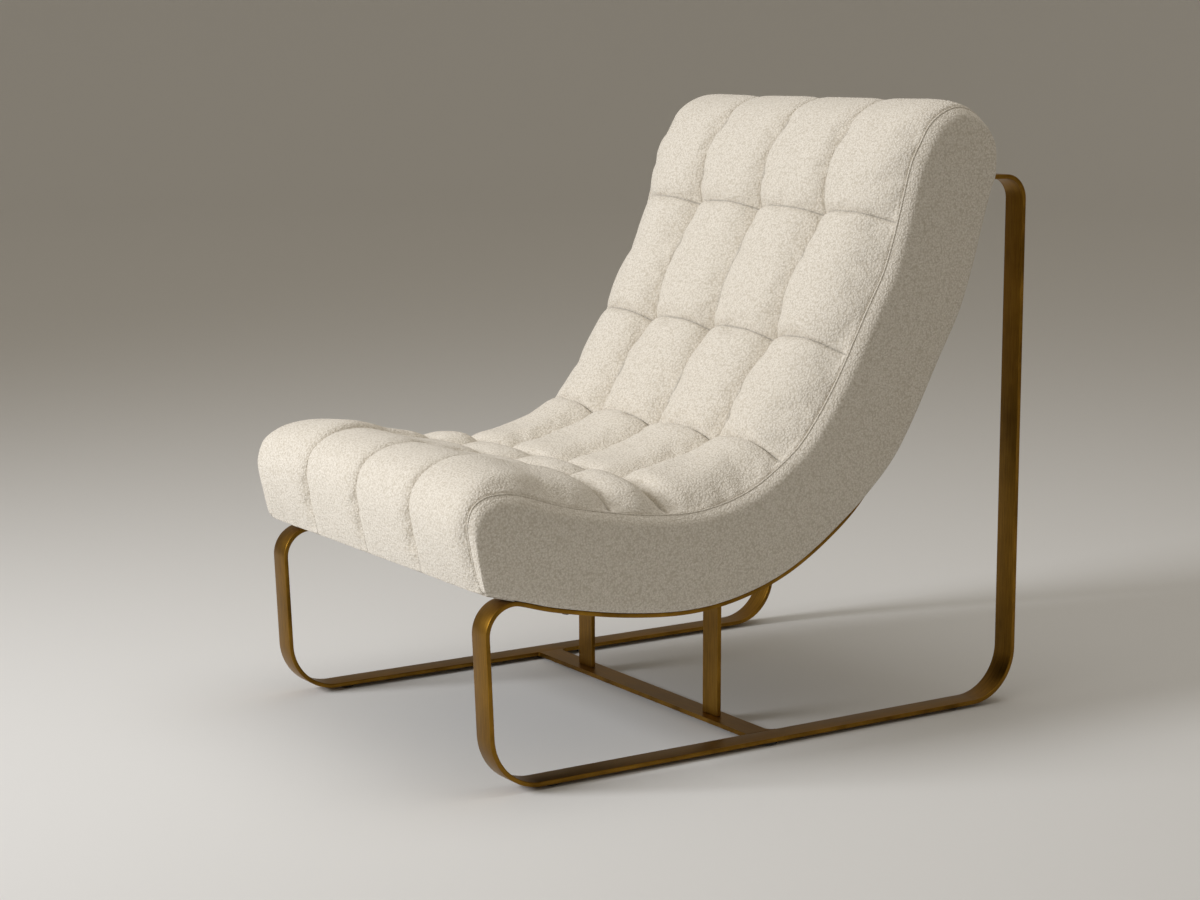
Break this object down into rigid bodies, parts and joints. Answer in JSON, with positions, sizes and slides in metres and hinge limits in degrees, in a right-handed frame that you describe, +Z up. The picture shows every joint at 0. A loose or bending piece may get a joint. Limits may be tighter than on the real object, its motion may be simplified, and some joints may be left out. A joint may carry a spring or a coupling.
{
  "type": "lounge chair",
  "caption": "Armless lounge chair: a scooped, tufted cushion slung between flat-bar side loops that run along the floor, joined by cross bars and short posts.",
  "frame": {"origin": "on the floor, under the middle of the chair's overall width and depth", "axes": "+Z up, -Y towards the front of the seat, +X to the right as seen from the front, as in the node names"},
  "size_m": [0.6666, 0.9572, 0.9055],
  "materials": {
    "brass": "brushed, aged to a dark bronze gold",
    "boucle": "cream boucle, fine looped pile",
    "plywood": "bent plywood, unfinished, hidden",
    "cambric": "thin black dust cloth",
    "nylon": "black glide plastic",
    "bolt_steel": "dark bolt steel"
  },
  "bodies": {
    "root": {"dust_cover": "cambric", "left_front_glide": "nylon", "left_middle_glide": "nylon", "left_post": "brass", "left_post_bolt": "bolt_steel", "left_rail_bolt_1": "bolt_steel", "left_rail_bolt_2": "bolt_steel", "left_rail_bolt_3": "bolt_steel", "left_rail_bolt_4": "bolt_steel", "left_rear_glide": "nylon", "left_side_loop": "brass", "left_side_panel": "boucle", "left_sling_rail": "brass", "left_welt": "boucle", "lower_cross_bar": "brass", "outside_back_cover": "boucle", "right_front_glide": "nylon", "right_middle_glide": "nylon", "right_post": "brass", "right_post_bolt": "bolt_steel", "right_rail_bolt_1": "bolt_steel", "right_rail_bolt_2": "bolt_steel", "right_rail_bolt_3": "bolt_steel", "right_rail_bolt_4": "bolt_steel", "right_rear_glide": "nylon", "right_side_loop": "brass", "right_side_panel": "boucle", "right_sling_rail": "brass", "right_welt": "boucle", "seat_cross_bar": "brass", "seat_shell": "plywood", "tufted_pad": "boucle"}
  },
  "joints": []
}
